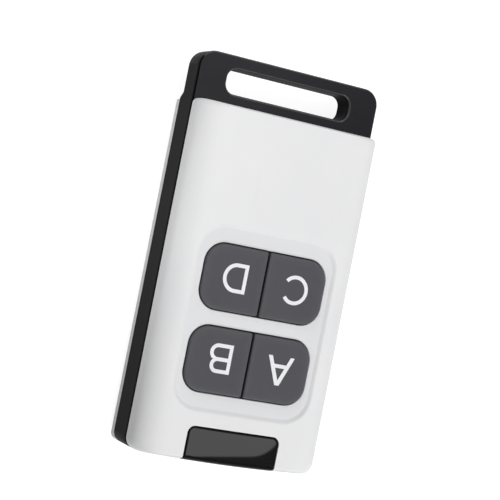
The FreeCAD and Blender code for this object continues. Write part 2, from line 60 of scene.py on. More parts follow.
def new_material(name):
    """An empty material with its Principled shader already on the output."""
    material = bpy.data.materials.new(name)
    material.use_nodes = True
    tree = material.node_tree
    tree.nodes.clear()
    shader = tree.nodes.new("ShaderNodeBsdfPrincipled")
    output = tree.nodes.new("ShaderNodeOutputMaterial")
    tree.links.new(shader.outputs["BSDF"], output.inputs["Surface"])
    return material, tree, shader


def new_group(name, inputs, outputs):
    """An empty shader group with named number inputs and named outputs."""
    tree = bpy.data.node_groups.new(name, "ShaderNodeTree")
    for label, value in inputs:
        socket = tree.interface.new_socket(label, in_out="INPUT", socket_type="NodeSocketFloat")
        socket.default_value = value
    for label in outputs:
        tree.interface.new_socket(label, in_out="OUTPUT", socket_type="NodeSocketFloat")
    return tree, tree.nodes.new("NodeGroupInput"), tree.nodes.new("NodeGroupOutput")


def feed(tree, value, socket):
    """Brings another node's output to a socket, or writes a plain number or colour on it."""
    if isinstance(value, bpy.types.NodeSocket):
        tree.links.new(value, socket)
    elif isinstance(value, tuple):
        socket.default_value = (*value, 1.0)
    else:
        socket.default_value = value


def noise(tree, scale, detail, stretch=(1.0, 1.0, 1.0), offset=(0.0, 0.0, 0.0)):
    """Noise fixed to the piece. scale is in turns per metre, or a socket that gives it."""
    place = tree.nodes.new("ShaderNodeTexCoord")
    mapping = tree.nodes.new("ShaderNodeMapping")
    mapping.inputs["Location"].default_value = offset
    mapping.inputs["Scale"].default_value = stretch
    tree.links.new(place.outputs["Object"], mapping.inputs["Vector"])
    node = tree.nodes.new("ShaderNodeTexNoise")
    node.inputs["Detail"].default_value = detail
    tree.links.new(mapping.outputs["Vector"], node.inputs["Vector"])
    feed(tree, scale, node.inputs["Scale"])
    return node.outputs["Fac"]


def span(tree, value, low, high, to_low, to_high):
    """A number moved from one range to another, held at its ends."""
    node = tree.nodes.new("ShaderNodeMapRange")
    feed(tree, value, node.inputs["Value"])
    for label, number in (("From Min", low), ("From Max", high), ("To Min", to_low), ("To Max", to_high)):
        node.inputs[label].default_value = number
    return node.outputs["Result"]


def blend_colours(tree, mask, first, second):
    """A colour between two, by a mask."""
    node = tree.nodes.new("ShaderNodeMix")
    node.data_type = "RGBA"
    first_colour, second_colour = node.inputs[6], node.inputs[7]
    mixed_colour = node.outputs[2]
    feed(tree, mask, node.inputs["Factor"])
    feed(tree, first, first_colour)
    feed(tree, second, second_colour)
    return mixed_colour


def combine(tree, operation, first, second):
    """Two numbers put through one sum."""
    node = tree.nodes.new("ShaderNodeMath")
    node.operation = operation
    feed(tree, first, node.inputs[0])
    feed(tree, second, node.inputs[1])
    return node.outputs["Value"]


def placed(tree, group, **values):
    """A group in a material, with its own input values."""
    node = tree.nodes.new("ShaderNodeGroup")
    node.node_tree = group
    for label, value in values.items():
        node.inputs[label].default_value = value
    return node


def bumped(tree, shader, height, strength, depth):
    """Relief on a shader from a height. depth is in millimetres."""
    node = tree.nodes.new("ShaderNodeBump")
    node.inputs["Strength"].default_value = strength
    node.inputs["Distance"].default_value = depth * MM
    tree.links.new(height, node.inputs["Height"])
    tree.links.new(node.outputs["Normal"], shader.inputs["Normal"])


# The spark-eroded mould leaves a fine even grain, with slow changes of gloss where the melt cooled.
mould_grain, given, made = new_group(
    "mould grain", [("Grain", 7000.0), ("Cloud", 110.0)], ["Height", "Tone", "Gloss"])
grain = noise(mould_grain, given.outputs["Grain"], detail=2.0)
cloud = noise(mould_grain, given.outputs["Cloud"], detail=3.0)
mould_grain.links.new(grain, made.inputs["Height"])
mould_grain.links.new(span(mould_grain, cloud, noise_low, noise_high, 0.0, 1.0), made.inputs["Tone"])
mould_grain.links.new(
    combine(mould_grain, "ADD", combine(mould_grain, "MULTIPLY", grain, gloss_from_grain),
            combine(mould_grain, "MULTIPLY", cloud, 1 - gloss_from_grain)), made.inputs["Gloss"])

# Pocket wear: thin rubs that run mostly along the remote, thicker in some places than in others.
rub_stretch = (1.0, 0.09, 1.0)
rub_range = (0.58, 0.70)
patches_per_metre = 60.0
patch_offset = (3.0, 1.0, 2.0)
patch_range = (0.45, 0.65)
pocket_rubs, given, made = new_group("pocket rubs", [("Fineness", 900.0), ("Amount", 0.3)], ["Rub"])
streak = noise(pocket_rubs, given.outputs["Fineness"], detail=4.0, stretch=rub_stretch)
patch = noise(pocket_rubs, patches_per_metre, detail=2.0, offset=patch_offset)
thin = span(pocket_rubs, streak, *rub_range, 0.0, 1.0)
some = span(pocket_rubs, patch, *patch_range, 0.0, 1.0)
pocket_rubs.links.new(
    combine(pocket_rubs, "MULTIPLY", combine(pocket_rubs, "MULTIPLY", thin, some), given.outputs["Amount"]),
    made.inputs["Rub"])


def moulded(name, grain, cloud, gloss, strength, depth):
    """A moulded plastic with the mould's grain in its gloss and relief. Its colour comes after."""
    material, tree, shader = new_material(name)
    skin = placed(tree, mould_grain, Grain=grain, Cloud=cloud)
    roughness = span(tree, skin.outputs["Gloss"], noise_low, noise_high, *gloss)
    tree.links.new(roughness, shader.inputs["Roughness"])
    bumped(tree, shader, skin.outputs["Height"], strength, depth)
    return material, tree, shader, skin.outputs


def toned(tree, shader, mask, dark, light):
    """Gives a shader its colour, between a darker and a lighter one."""
    tree.links.new(blend_colours(tree, mask, dark, light), shader.inputs["Base Color"])


def rubbed(tree, shader, tone, fineness, amount, rub_tone):
    """Gives a shader its colour, with pocket wear over it."""
    rubs = placed(tree, pocket_rubs, Fineness=fineness, Amount=amount)
    toned(tree, shader, rubs.outputs["Rub"], tone, rub_tone)


# The frame's faces and its walls get different blacks by which way they face: painted light and shade.
# The land beside the seam is painted near black, a painted shade. Handling has polished the faces a
# little, and the eased edges more, apart from the long edge at +X; the same eased edges, again apart
# from that one, are painted a lighter grey, a painted highlight.
face_painted_light_blacks = ((0.0163, 0.0158, 0.0188), (0.0204, 0.0198, 0.0232))
wall_painted_light_blacks = ((0.0262, 0.0258, 0.0272), (0.0320, 0.0316, 0.0332))
seam_painted_shade_black = (0.0030, 0.0030, 0.0032)
rim_painted_highlight_grey = (0.085, 0.084, 0.089)
rub_grey = (0.04, 0.04, 0.042)
rim_highlight_share = 0.8
face_polish = 0.26
wall_tilt = (0.15, 0.40)
face_tilt = (0.90, 0.99)
unpolished_unhighlighted_x = (17.2 * MM, 17.5 * MM)
land_levels = (8.55 * MM, 8.80 * MM)

black_abs, tree, shader, skin = moulded("satin black ABS", grain=6500.0, cloud=90.0, gloss=(0.34, 0.48),
                                        strength=0.25, depth=0.012)
place = tree.nodes.new("ShaderNodeTexCoord")
facing = tree.nodes.new("ShaderNodeSeparateXYZ")
tree.links.new(place.outputs["Normal"], facing.inputs["Vector"])
where = tree.nodes.new("ShaderNodeSeparateXYZ")
tree.links.new(place.outputs["Object"], where.inputs["Vector"])
face = span(tree, facing.outputs["Z"], *face_tilt, 0.0, 1.0)
edge = combine(tree, "MULTIPLY", span(tree, facing.outputs["Z"], *wall_tilt, 0.0, 1.0),
               span(tree, facing.outputs["Z"], *face_tilt, 1.0, 0.0))
edge = combine(tree, "MULTIPLY", edge, span(tree, where.outputs["X"], *unpolished_unhighlighted_x, 1.0, 0.0))
land = combine(tree, "MULTIPLY", span(tree, facing.outputs["Z"], *face_tilt, 1.0, 0.0),
               span(tree, where.outputs["Z"], *land_levels, 0.0, 1.0))
# Faces and walls take their blacks by which way they face: painted light and shade.
tone = blend_colours(tree, face, blend_colours(tree, skin["Tone"], *wall_painted_light_blacks),
                     blend_colours(tree, skin["Tone"], *face_painted_light_blacks))
# The land under the seam is painted near black: painted shade beside the shell.
tone = blend_colours(tree, land, tone, seam_painted_shade_black)
# The eased edges, apart from the long one at +X, are painted a lighter grey: a painted highlight.
tone = blend_colours(tree, combine(tree, "MULTIPLY", edge, rim_highlight_share), tone, rim_painted_highlight_grey)
rubbed(tree, shader, tone, fineness=800.0, amount=0.35, rub_tone=rub_grey)
shader.inputs["Specular IOR Level"].default_value = 0.006
polish = combine(tree, "ADD", combine(tree, "MULTIPLY", face, face_polish), edge)
tree.links.new(polish, shader.inputs["Coat Weight"])
shader.inputs["Coat Roughness"].default_value = 0.24

frame_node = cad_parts["middle_frame"]
frame_node.material_slots[0].material = black_abs

# The mould's edges are eased by a quarter of a millimetre, and catch a thin line of light.
joined = frame_node.modifiers.new("joined", "WELD")
joined.merge_threshold = 0.001 * MM
eased = frame_node.modifiers.new("eased", "BEVEL")
eased.width = 0.25 * MM
eased.segments = 3
eased.limit_method = "ANGLE"
eased.angle_limit = math.radians(50.0)
eased.harden_normals = True


# Front shell. White ABS, 1.4 mm thick, rolled down along both long sides and eased at its ends.
# A shallow dish round the keys guides a thumb to them; the shell sits flush on the middle frame.


def box_of(name):
    """A node's lowest and highest corners, in millimetres."""
    return [[round(value / MM, 3) for value in corner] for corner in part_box(name)]


def middle_along(name):
    """The middle of a node along the remote."""
    low, high = box_of(name)
    return (low[1] + high[1]) / 2


shell_low, shell_high = box_of("front_cover")
half_width, shell_end, shell_top = shell_high
shell_start = shell_low[1]
seam_level = box_of("middle_frame")[1][2]
upright_level = shell_top - 3.8
roll_width = 5.5
roll_stop = 60.0
end_roll = 0.9
start_roll = 0.5
end_bow = 0.5
bow_start = shell_end - 11.75
bow_run = 8.0
slot_corner = 1.0
window_corner = 2.0
roof_level = shell_top - 1.6
lip_height = 1.2
lip_outer = 1.7
lip_inner = 2.6
lip_corner = 0.3
seam_edge = ((0.14, 0.0), (0.05, 0.03), (0.0, 0.12), (0.0, 0.7))

flange_width = 0.7
key_low, key_high = box_of("key_d")
pair_half_width = key_high[0] - flange_width
pair_half_length = (key_high[1] - key_low[1]) / 2 - flange_width
pair_rows = (middle_along("key_d"), middle_along("key_b"))
pair_corner = 3.5
key_gap = 0.2
opening_edge = ((0.12, 0.0), (0.05, 0.03), (0.0, 0.12))
dish_side_margin = 1.55
dish_end_margin = 3.125
dish_half_width = pair_half_width + dish_side_margin
dish_half_length = (pair_rows[1] - pair_rows[0]) / 2 + pair_half_length + dish_end_margin
dish_middle = (pair_rows[0] + pair_rows[1]) / 2
dish_corner = 5.0
dish_depth = 0.42
dish_slope = 0.5

sharp_angle = 32.0
halvings = 22
roll_steps = 14
ground_steps = 30
ground_spread = 2.2
slope_steps = 14


def round_loop(x_low, x_high, y_low, y_high, radii, arc=10, across=40, along=60):
    """Points round a box with its own radius at each corner, anticlockwise from the low right one."""
    arcs = []
    corners = ((x_high, y_low, -90, -1, 1), (x_high, y_high, 0, -1, -1),
               (x_low, y_high, 90, 1, -1), (x_low, y_low, 180, 1, 1))
    for (x, y, start, in_x, in_y), radius in zip(corners, radii):
        turns = [math.radians(start + 90 * step / arc) for step in range(arc + 1)]
        middle_x, middle_y = x + in_x * radius, y + in_y * radius
        arcs.append([(middle_x + radius * math.cos(turn), middle_y + radius * math.sin(turn))
                     for turn in turns])
    points = []
    for number in range(4):
        points += arcs[number]
        first, last = arcs[number][-1], arcs[(number + 1) % 4][0]
        steps = along if number % 2 == 0 else across
        for step in range(1, steps):
            share = step / steps
            points.append((first[0] + (last[0] - first[0]) * share, first[1] + (last[1] - first[1]) * share))
    return points


def end_fall(x, y):
    """How far the window end falls back at a place: none in the middle, most at the sides."""
    share = min(max((y - bow_start) / bow_run, 0.0), 1.0)
    return end_bow * (x / half_width) ** 2 * share


def shell_loop(side_inset, end_inset, corner_change=0.0, start_inset=None):
    """The shell's outline, drawn in at its sides, its window end and its slot end."""
    low, high = slot_corner + corner_change, window_corner + corner_change
    start = end_inset if start_inset is None else start_inset
    plan = round_loop(-half_width + side_inset, half_width - side_inset, shell_start + start,
                      shell_end - end_inset, (low, high, high, low))
    return [(x, y - end_fall(x, y)) for x, y in plan]


def at_level(points, level):
    """The points of a plan, brought to one level."""
    return [(x, y, level) for x, y in points]


def add_rings(mesh, rings, tints=None):
    """Joins rings of as many points with four-sided faces. A ring's tint colours its points."""
    layer = mesh.verts.layers.float.get("tint") or mesh.verts.layers.float.new("tint")
    loops = []
    for ring, tint in zip(rings, tints or [0.0] * len(rings)):
        loop = [mesh.verts.new(point) for point in ring]
        for vert in loop:
            vert[layer] = tint
        loops.append(loop)
    for first, second in zip(loops, loops[1:]):
        join_loops(mesh, first, second)
    return loops


def join_loops(mesh, first, second):
    """A band of faces between two loops of as many points."""
    count = len(first)
    for i in range(count):
        mesh.faces.new((first[i], first[(i + 1) % count], second[(i + 1) % count], second[i]))


def fill_flat(mesh, *loops):
    """Closes the flat ground between an outer loop and the loops of its openings."""
    edges = []
    for loop in loops:
        for i in range(len(loop)):
            pair = (loop[i - 1], loop[i])
            edges.append(mesh.edges.get(pair) or mesh.edges.new(pair))
    bmesh.ops.triangle_fill(mesh, use_beauty=True, use_dissolve=False, edges=edges)


def made_piece(name, mesh):
    """A Blender object from a closed mesh in millimetres."""
    bmesh.ops.recalc_face_normals(mesh, faces=mesh.faces)
    shape = bpy.data.meshes.new(name)
    mesh.to_mesh(shape)
    mesh.free()
    piece = bpy.data.objects.new(name, shape)
    bpy.context.scene.collection.objects.link(piece)
    return piece


def cutter(outline, low, high):
    """A block inside an outline, from one level to another."""
    mesh = bmesh.new()
    bottom, top = add_rings(mesh, [at_level(outline, low), at_level(outline, high)])
    fill_flat(mesh, bottom)
    fill_flat(mesh, top)
    return made_piece("rebate", mesh)


def carve(piece, block):
    """Cuts a block out of a piece and lets the block go."""
    cut = piece.modifiers.new("cut", "BOOLEAN")
    cut.operation = "DIFFERENCE"
    cut.solver = "EXACT"
    cut.object = block
    bpy.context.view_layer.update()
    shape = bpy.data.meshes.new_from_object(piece.evaluated_get(bpy.context.evaluated_depsgraph_get()))
    piece.modifiers.clear()
    piece.data = shape
    bpy.data.objects.remove(block)


def settle(piece, body, slot, material, *nodes):
    """Brings a finished mesh to metres, shades it, and puts it on its body in place of its solids."""
    piece.data.transform(Matrix.Scale(MM, 4))
    piece.data.shade_smooth()
    piece.data.set_sharp_from_angle(angle=math.radians(sharp_angle))
    piece.data.materials.clear()
    piece.data.materials.append(material)
    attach(piece, body)
    if nodes:
        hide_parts(*nodes)


def box_distance(x, y, half_x, half_y, middle_y, radius):
    """How far a point is outside a box with round corners, negative inside it."""
    dx, dy = abs(x) - half_x + radius, abs(y - middle_y) - half_y + radius
    return math.hypot(max(dx, 0.0), max(dy, 0.0)) + min(max(dx, dy), 0.0) - radius


def rolled_level(turn):
    """The height at an angle of the roll, which starts upright and ends flat."""
    return upright_level + (shell_top - upright_level) * math.sin(turn)


def roll_level(x, y):
    """The shell's height over a point, from the ring of its roll that passes through the point."""
    y += end_fall(x, y)
    low, high = 0.0, math.pi / 2
    radius = slot_corner if y < (shell_start + shell_end) / 2 else window_corner
    for _ in range(halvings):
        turn = (low + high) / 2
        inset = 1 - math.cos(turn)
        first, last = shell_start + start_roll * inset, shell_end - end_roll * inset
        half_x = half_width - roll_width * inset
        half_y, middle_y = (last - first) / 2, (first + last) / 2
        if box_distance(x, y, half_x, half_y, middle_y, radius) < 0:
            low = turn
        else:
            high = turn
    return rolled_level(low)


def shell_level(x, y):
    """The shell's height with the dish round the keys pressed in."""
    away = box_distance(x, y, dish_half_width, dish_half_length, dish_middle, dish_corner)
    share = min(max((dish_slope - away) / (2 * dish_slope), 0.0), 1.0)
    share = share * share * (3 - 2 * share)
    return roll_level(x, y) * (1 - share) + (shell_top - dish_depth) * share


def dish_loop(grow):
    """The outline of the dish round the keys, grown on all sides."""
    return round_loop(-dish_half_width - grow, dish_half_width + grow, dish_middle - dish_half_length - grow,
                      dish_middle + dish_half_length + grow, [dish_corner + grow] * 4)


def pair_loop(row, grow):
    """The outline of a pair of keys, or of the opening round it."""
    low, high = pair_rows[row] - pair_half_length, pair_rows[row] + pair_half_length
    return round_loop(-pair_half_width - grow, pair_half_width + grow, low - grow, high + grow,
                      [pair_corner + grow] * 4, across=24, along=12)


# From the roof inside, down round the lip, up the outer wall, and over the roll to the ground.
mesh = bmesh.new()
lip_level = seam_level - lip_height
rings = [at_level(shell_loop(lip_inner, lip_inner, -lip_corner), roof_level),
         at_level(shell_loop(lip_inner, lip_inner, -lip_corner), lip_level),
         at_level(shell_loop(lip_outer, lip_outer, -lip_corner), lip_level),
         at_level(shell_loop(lip_outer, lip_outer, -lip_corner), seam_level)]
for inset, rise in seam_edge:
    rings.append(at_level(shell_loop(inset, inset), seam_level + rise))
for step in range(roll_steps + 1):
    turn = math.radians(roll_stop * step / roll_steps)
    inset = 1 - math.cos(turn)
    plan = shell_loop(roll_width * inset, end_roll * inset, 0.0, start_roll * inset)
    rings.append(at_level(plan, rolled_level(turn)))

# The ground draws in from the roll to the dish, whose sloping border and floor are painted a darker, slightly
# cooler white: painted shade in the recess.
start, finish = [(x, y) for x, y, z in rings[-1]], dish_loop(dish_slope)
for step in range(1, ground_steps + 1):
    share = (step / ground_steps) ** ground_spread
    ring = [(a[0] + (b[0] - a[0]) * share, a[1] + (b[1] - a[1]) * share) for a, b in zip(start, finish)]
    rings.append([(x, y, shell_level(x, y)) for x, y in ring])
tints = [0.0] * len(rings)
for step in range(1, slope_steps + 1):
    ring = dish_loop(dish_slope - 2 * dish_slope * step / slope_steps)
    rings.append([(x, y, shell_level(x, y)) for x, y in ring])
    tints.append(step / slope_steps)
loops = add_rings(mesh, rings, tints)
floors, roofs = [loops[-1]], [loops[0]]
dish_floor = shell_top - dish_depth
for row in (0, 1):
    rings = [at_level(pair_loop(row, key_gap + grow), dish_floor - drop) for grow, drop in opening_edge]
    rings.append(at_level(pair_loop(row, key_gap), roof_level))
    opening = add_rings(mesh, rings, [1.0] * len(rings))
    floors.append(opening[0])
    roofs.append(opening[-1])
fill_flat(mesh, *floors)
fill_flat(mesh, *roofs)
front_shell = made_piece("front_shell", mesh)

# The window lies in a rebate in the shell's top and in a second one down its end.
window_low, window_high = box_of("window")
window_half = window_high[0]
window_start = window_low[1]
window_foot = window_low[2] + 0.2
window_gap = 0.12
window_thickness = 0.8
window_corner_radius = 1.25
end_rebate = 1.0
end_rebate_corner = 0.05
past_end = shell_end + 6.25
past_end_corner = 0.2
past_top = 2.0
seat = window_half + window_gap
rebate_corner = window_corner_radius + window_gap
rebate_corners = (rebate_corner, past_end_corner, past_end_corner, rebate_corner)
top_plan = round_loop(-seat, seat, window_start - window_gap, past_end, rebate_corners, across=8, along=8)
carve(front_shell, cutter(top_plan, shell_top - window_thickness, shell_top + past_top))
end_plan = round_loop(-seat, seat, shell_end - end_rebate, past_end, [end_rebate_corner] * 4,
                      arc=2, across=4, along=4)
carve(front_shell, cutter(end_plan, window_foot - window_gap, shell_top))

shell_whites = ((0.775, 0.778, 0.785), (0.80, 0.80, 0.803))
dish_painted_shade_white = (0.735, 0.738, 0.752)
rub_white = (0.66, 0.66, 0.66)


def tint_of(tree):
    """The mask that add_rings leaves on a mesh."""
    node = tree.nodes.new("ShaderNodeAttribute")
    node.attribute_name = "tint"
    return node.outputs["Fac"]


white_abs, tree, shader, skin = moulded("satin white ABS", grain=7500.0, cloud=70.0, gloss=(0.40, 0.54),
                                        strength=0.18, depth=0.01)
# The dish's border and floor take a darker white: painted shade in the recess.
tone = blend_colours(tree, tint_of(tree), blend_colours(tree, skin["Tone"], *shell_whites), dish_painted_shade_white)
rubbed(tree, shader, tone, fineness=700.0, amount=0.12, rub_tone=rub_white)
shader.inputs["Specular IOR Level"].default_value = 0.4
settle(front_shell, "case", "white_plastic", white_abs, "front_cover")


# Rear shell. The same white ABS: a flat back that the remote lies on, rolled sides, and four
# sunk holes for the screws that hold both shells together.


def dress(material, *names):
    """Gives solids of the frame their finish."""
    for name in names:
        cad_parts[name].material_slots[0].material = material


dress(white_abs, "rear_cover")


# Status window. Dark polished acrylic, bonded flush into the front shell and carried over its
# end; two small lamps light it from behind, so it looks black until a key is pressed.

window_edge = 0.28
bond_line = 0.05
window_under = window_thickness - bond_line
under_inset = 0.3
foot_corner = 0.3
least_corner = 0.05
dull_end = 1.1
middle_strip = 0.2
flat_steps = 24
end_steps = 20
foot_steps = 3
edge_steps = 5
face_steps = 28
under_steps = 12


def window_profile():
    """Points along the window's middle: over the flat top, round the end and down to its foot."""
    flat_end = shell_end - end_roll
    points = [(window_start + (flat_end - window_start) * step / flat_steps, shell_top)
              for step in range(flat_steps + 1)]
    for step in range(1, end_steps + 1):
        turn = math.pi / 2 * (1 - step / end_steps)
        points.append((shell_end - end_roll * (1 - math.cos(turn)), rolled_level(turn)))
    for step in range(1, foot_steps + 1):
        points.append((shell_end, upright_level + (window_foot - upright_level) * step / foot_steps))
    return points


profile = window_profile()
runs = [0.0]
for first, second in zip(profile, profile[1:]):
    runs.append(runs[-1] + math.dist(first, second))


def on_window(x, run, depth):
    """A point on the window at a run from its near edge, sunk square to its surface by a depth."""
    run = min(max(run, 0.0), runs[-1])
    index = 0
    while index < len(runs) - 2 and runs[index + 1] < run:
        index += 1
    share = (run - runs[index]) / (runs[index + 1] - runs[index])
    (y0, z0), (y1, z1) = profile[index], profile[index + 1]
    (ya, za), (yb, zb) = profile[max(index - 1, 0)], profile[min(index + 2, len(profile) - 1)]
    along = Vector((0.0, yb - ya, zb - za)).normalized()
    outward = Vector((0.0, -along.z, along.y))
    y, z = y0 + (y1 - y0) * share, z0 + (z1 - z0) * share
    return (x, y - end_fall(x, y) - outward.y * depth, z - outward.z * depth)


def window_ring(inset, depth):
    """The window's outline laid over its profile, drawn in and sunk."""
    near, foot = max(window_corner_radius - inset, least_corner), max(foot_corner - inset, least_corner)
    plan = round_loop(-window_half + inset, window_half - inset, inset, runs[-1] - inset,
                      (near, foot, foot, near), arc=8, across=60, along=60)
    return [on_window(x, run, depth) for x, run in plan]


# The cut edge and the rolled end are tinted, and stay duller than the polished face.
mesh = bmesh.new()
rings = [window_ring(0.0, window_under), window_ring(0.0, window_edge)]
for step in range(1, edge_steps + 1):
    turn = math.radians(90 * step / edge_steps)
    rings.append(window_ring(window_edge * (1 - math.cos(turn)), window_edge * (1 - math.sin(turn))))
tints = [0.0] + [1.0] * (edge_steps + 1) + [0.0] * face_steps
reach = runs[-1] / 2 - middle_strip
for step in range(1, face_steps + 1):
    rings.append(window_ring(window_edge + (reach - window_edge) * step / face_steps, 0.0))
loops = add_rings(mesh, rings, tints)
bmesh.ops.contextual_create(mesh, geom=loops[-1])
under = add_rings(mesh, [window_ring(under_inset + (reach - under_inset) * step / under_steps, window_under)
                         for step in range(under_steps + 1)])
join_loops(mesh, loops[0], under[0])
bmesh.ops.contextual_create(mesh, geom=under[-1])
layer = mesh.verts.layers.float["tint"]
for vert in mesh.verts:
    if vert.co.y + end_fall(vert.co.x, vert.co.y) > shell_end - dull_end:
        vert[layer] = 1.0
window = made_piece("status_window", mesh)

window_blacks = ((0.0035, 0.0035, 0.0042), (0.0050, 0.0048, 0.0055))
window_rub = (0.02, 0.02, 0.02)
smoked, tree, shader, skin = moulded("polished smoked acrylic", grain=2500.0, cloud=60.0, gloss=(0.40, 0.55),
                                     strength=0.02, depth=0.004)
tone = blend_colours(tree, skin["Tone"], *window_blacks)
rubbed(tree, shader, tone, fineness=1200.0, amount=0.25, rub_tone=window_rub)
shader.inputs["Specular IOR Level"].default_value = 0.04
tree.links.new(span(tree, tint_of(tree), 0.0, 1.0, 1.0, 0.0), shader.inputs["Coat Weight"])
shader.inputs["Coat Roughness"].default_value = 0.018
settle(window, "case", "window_plastic", smoked, "window")


# Keys. Four caps in two split pairs, moulded in dark grey plastic with a matte face and a soft
# crowned edge. A flange under the shell keeps each one in, and a post rests on its switch.

key_split = 0.3
key_inner_corner = 0.4
ink_room = 0.02
key_top = key_high[2] - ink_room
flange_high = roof_level - 0.1
flange_low = flange_high - 0.6
post_radius = 1.6
post_foot = key_low[2]
key_middle = (2 * pair_half_width + key_split) / 4
least_key_corners = (0.05, 0.02)
keys = {"a": (-1, 1), "b": (1, 1), "c": (-1, 0), "d": (1, 0)}

# The crown from its foot to the flat face: inset from the outline, drop from the top, and how much painted
# highlight the ring takes.
key_crown = ((0.0, 0.50, 0.5), (0.01, 0.38, 0.8), (0.04, 0.28, 1.0), (0.10, 0.19, 1.0), (0.19, 0.13, 0.9),
             (0.32, 0.085, 0.7), (0.5, 0.055, 0.5), (0.75, 0.033, 0.3), (1.1, 0.015, 0.15), (1.6, 0.0, 0.0),
             (2.4, 0.0, 0.0))


def key_loop(side, row, inset):
    """One key's outline: two large corners outside, two small ones beside the split."""
    least_outer, least_inner = least_key_corners
    outer, inner = max(pair_corner - inset, least_outer), max(key_inner_corner - inset, least_inner)
    near, far = key_split / 2 + max(inset, 0.0), pair_half_width - inset
    low, high = (near, far) if side > 0 else (-far, -near)
    radii = (outer, outer, inner, inner) if side > 0 else (inner, inner, outer, outer)
    return round_loop(low, high, pair_rows[row] - pair_half_length + inset,
                      pair_rows[row] + pair_half_length - inset, radii, across=16, along=16)


def post_loop(side, row):
    """The post's round outline, its points set opposite the key outline's."""
    middle = (side * key_middle, pair_rows[row])
    ring = []
    for x, y in key_loop(side, row, 0.0):
        away = Vector((x - middle[0], y - middle[1])).normalized() * post_radius
        ring.append((middle[0] + away.x, middle[1] + away.y))
    return ring


key_greys = ((0.0655, 0.0640, 0.0735), (0.0720, 0.0705, 0.0805))
crown_painted_highlight_grey = (0.10, 0.10, 0.108)
crown_highlight_share = 0.5
key_rub = (0.12, 0.12, 0.13)
matte_grey, tree, shader, skin = moulded("matte grey key plastic", grain=6000.0, cloud=160.0,
                                         gloss=(0.50, 0.66), strength=0.3, depth=0.015)
# The crowned edge is painted a lighter grey: a painted highlight on the key's rim.
tone = blend_colours(tree, combine(tree, "MULTIPLY", tint_of(tree), crown_highlight_share),
                     blend_colours(tree, skin["Tone"], *key_greys), crown_painted_highlight_grey)
rubbed(tree, shader, tone, fineness=1500.0, amount=0.15, rub_tone=key_rub)
shader.inputs["Specular IOR Level"].default_value = 0.35

for letter, (side, row) in keys.items():
    mesh = bmesh.new()
    post, flange = post_loop(side, row), key_loop(side, row, -flange_width)
    rings = [at_level(post, post_foot), at_level(post, flange_low), at_level(flange, flange_low),
             at_level(flange, flange_high), at_level(key_loop(side, row, 0.0), flange_high)]
    tints = [0.0] * len(rings)
    for inset, drop, highlight_amount in key_crown:
        rings.append(at_level(key_loop(side, row, inset), key_top - drop))
        tints.append(highlight_amount)
    loops = add_rings(mesh, rings, tints)
    fill_flat(mesh, loops[0])
    fill_flat(mesh, loops[-1])
    key = made_piece("key_cap_" + letter, mesh)
    settle(key, "key_" + letter, "key_plastic", matte_grey, "key_" + letter)


# Key marks. One plain letter on each cap, pad printed in white ink with strokes of one width, so
# that a key can be told from the next. The ink stands less than 0.02 mm proud of its cap.

cap_height = 5.2
stroke = 0.67
ink_height = 0.02
ink_sink = 0.005

# Where the lower left corner of each letter lies on the remote.
mark_places = {"a": (-8.73, 14.84), "b": (3.43, 14.39), "c": (-8.66, 0.27), "d": (3.50, 0.09)}


def bow_points(centre, radii, start, stop, steps=28):
    """Points along an ellipse, in degrees."""
    turns = [math.radians(start + (stop - start) * step / steps) for step in range(steps + 1)]
    return [(centre[0] + radii[0] * math.cos(t), centre[1] + radii[1] * math.sin(t)) for t in turns]


def bowl(width, low, high, reach, inset):
    """A closed bowl: straight at the left, half an ellipse at the right."""
    middle = (low + high) / 2
    ends = bow_points((width - reach, middle), (reach - inset, (high - low) / 2 - inset), -90, 90)
    return [(inset, low + inset)] + ends + [(inset, high - inset)]


def letter_a():
    """Two leaning legs and a bar: the outline, and the opening over the bar."""
    width, foot, tip, bar = 5.2, 0.8, 0.43, 1.45
    lean = (width / 2 - tip) / cap_height
    peak = (width / 2 - foot) / lean
    high = bar + stroke
    outer = [(0.0, 0.0), (foot, 0.0), (foot + bar * lean, bar), (width - foot - bar * lean, bar),
             (width - foot, 0.0), (width, 0.0), (width / 2 + tip, cap_height), (width / 2 - tip, cap_height)]
    return [outer, [(foot + high * lean, high), (width - foot - high * lean, high), (width / 2, peak)]]


def letter_b():
    """A wider bowl under a narrower one, which meet in one bar."""
    lower_width, lower_reach, lower_stop = 4.3, 1.55, 50.2
    upper_width, upper_reach, upper_start = 3.95, 1.4, -48
    bar_middle = 2.75
    bar_low, bar_high = bar_middle - stroke / 2, bar_middle + stroke / 2
    lower = bow_points((lower_width - lower_reach, bar_high / 2),
                       (lower_reach, bar_high / 2), -90, lower_stop)
    upper = bow_points((upper_width - upper_reach, (bar_low + cap_height) / 2),
                       (upper_reach, (cap_height - bar_low) / 2), upper_start, 90)
    return [[(0.0, 0.0)] + lower + upper + [(0.0, cap_height)],
            bowl(lower_width, 0.0, bar_high, lower_reach, stroke),
            bowl(upper_width, bar_low, cap_height, upper_reach, stroke)]


def letter_c():
    """A round bow, open at the right."""
    half, overshoot, opening = 2.6, 0.05, 38
    centre, radii = (half, cap_height / 2), (half, cap_height / 2 + overshoot)
    inner = (radii[0] - stroke, radii[1] - stroke)
    return [bow_points(centre, radii, opening, 360 - opening, 60)
            + bow_points(centre, inner, 360 - opening, opening, 60)]


def letter_d():
    """One bowl of the full height."""
    width, reach = 4.6, 2.5
    return [bowl(width, 0.0, cap_height, reach, 0.0), bowl(width, 0.0, cap_height, reach, stroke)]


white_ink, tree, shader, skin = moulded("white pad-printed ink", grain=9000.0, cloud=400.0, gloss=(0.45, 0.6),
                                        strength=0.3, depth=0.01)
toned(tree, shader, skin["Tone"], dark=(0.80, 0.80, 0.82), light=(0.86, 0.86, 0.87))

